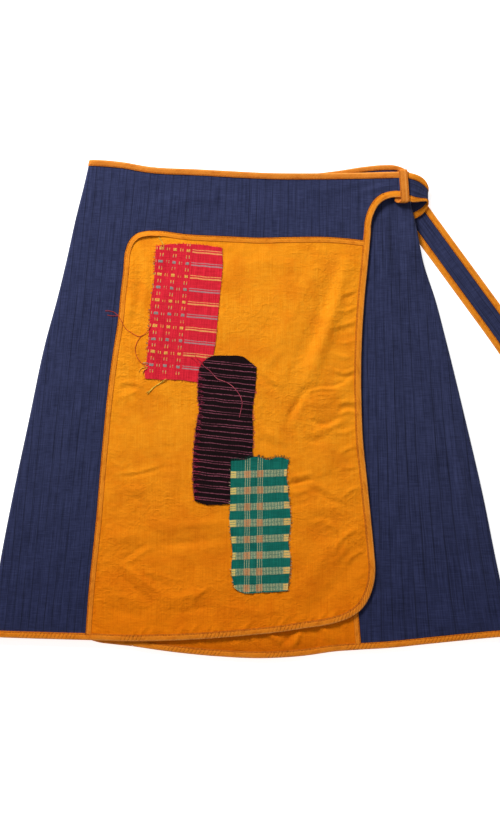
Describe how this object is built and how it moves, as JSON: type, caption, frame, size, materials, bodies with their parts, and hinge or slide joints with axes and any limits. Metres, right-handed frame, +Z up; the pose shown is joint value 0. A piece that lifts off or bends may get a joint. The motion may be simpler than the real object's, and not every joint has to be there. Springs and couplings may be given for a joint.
{
  "type": "wrap mini skirt",
  "caption": "Bound-edge wrap mini skirt lying flat, its tie drawn through a belt loop, with an inset front panel and woven patches.",
  "frame": {"origin": "middle of the laid garment's outline, on the surface that it lies on", "axes": "+X to the right of the laid front, towards the tie; +Y from the hem to the waist; +Z up, out of the front"},
  "size_m": [0.6788, 0.524, 0.0155],
  "materials": {
    "navy_cloth": "matte cotton with woven stripes",
    "mustard_cloth": "matte cotton",
    "binding": "matte bias tape",
    "red_check": "matte handwoven check",
    "black_stripe": "matte handwoven stripe",
    "green_check": "matte handwoven check"
  },
  "bodies": {
    "root": {"back_panel": "navy_cloth", "back_hem_binding": "binding", "back_waist_binding": "binding", "underlap_navy": "navy_cloth", "underlap_mustard": "mustard_cloth", "underlap_border_tape": "binding", "underlap_hem_binding": "binding", "underlap_edge_binding": "binding", "underlap_waist_binding": "binding", "overlap_navy": "navy_cloth", "overlap_mustard": "mustard_cloth", "overlap_border_tape": "binding", "overlap_hem_binding": "binding", "overlap_edge_binding": "binding", "overlap_waist_binding": "binding", "patch_red": "red_check", "patch_black": "black_stripe", "patch_green": "green_check", "tie_strip": "navy_cloth", "tie_upper_binding": "binding", "tie_lower_binding": "binding", "tie_end_binding": "binding", "belt_loop": "binding"}
  },
  "joints": []
}
